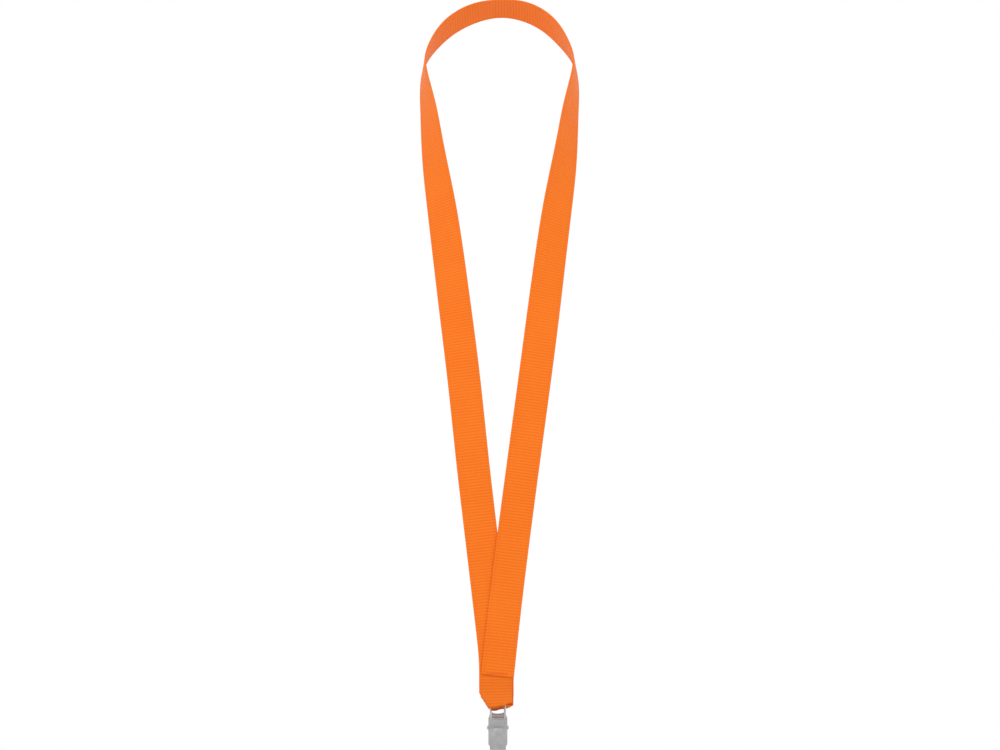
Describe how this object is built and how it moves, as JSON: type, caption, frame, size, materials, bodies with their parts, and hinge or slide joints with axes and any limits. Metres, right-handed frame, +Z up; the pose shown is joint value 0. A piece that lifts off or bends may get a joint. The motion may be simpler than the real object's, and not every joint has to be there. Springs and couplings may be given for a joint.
{
  "type": "neck lanyard",
  "caption": "Neck lanyard: a loop of woven ribbon sewn round a wire bail that carries a sprung bulldog clip for a badge.",
  "frame": {"origin": "middle of the ribbon's inner face at the nape of the neck, where the loop hangs", "axes": "+Z up, front of the lanyard faces -Y, +X to the right of someone looking at its front"},
  "size_m": [0.098, 0.1334, 0.4617],
  "materials": {
    "ribbon": "woven polyester grosgrain, fine cross ribs",
    "thread": "spun polyester sewing thread, matched to the ribbon",
    "nickel_wire": "bright nickel plated wire",
    "nickel_plate": "satin nickel plated stamping",
    "spring_steel": "plated spring wire"
  },
  "bodies": {
    "strap": {"neck_arch": "ribbon", "left_leg": "ribbon", "right_leg": "ribbon", "strap_fold": "ribbon", "seam_stitches": "thread"},
    "bail": {"wire_bail": "nickel_wire"},
    "clip": {"rear_jaw": "nickel_plate", "pivot_pin": "nickel_plate", "torsion_spring": "spring_steel"},
    "front_lever": {"front_jaw": "nickel_plate"}
  },
  "joints": [
    {"name": "bail_swing", "type": "hinge", "parent": "strap", "child": "bail", "pos_m": [-0.001, -0.1164, -0.426], "axis": [1, 0, 0], "range_deg": [-60, 60]},
    {"name": "clip_swing", "type": "hinge", "parent": "bail", "child": "clip", "pos_m": [-0.001, -0.1164, -0.4405], "axis": [1, 0, 0], "range_deg": [-18, 18]},
    {"name": "jaw_open", "type": "hinge", "parent": "clip", "child": "front_lever", "pos_m": [-0.001, -0.1164, -0.4405], "axis": [-1, 0, 0], "range_deg": [0, 24], "stiffness_Nm_per_rad": 0.02, "springref_deg": -57.3, "deforming": ["torsion_spring"]}
  ]
}
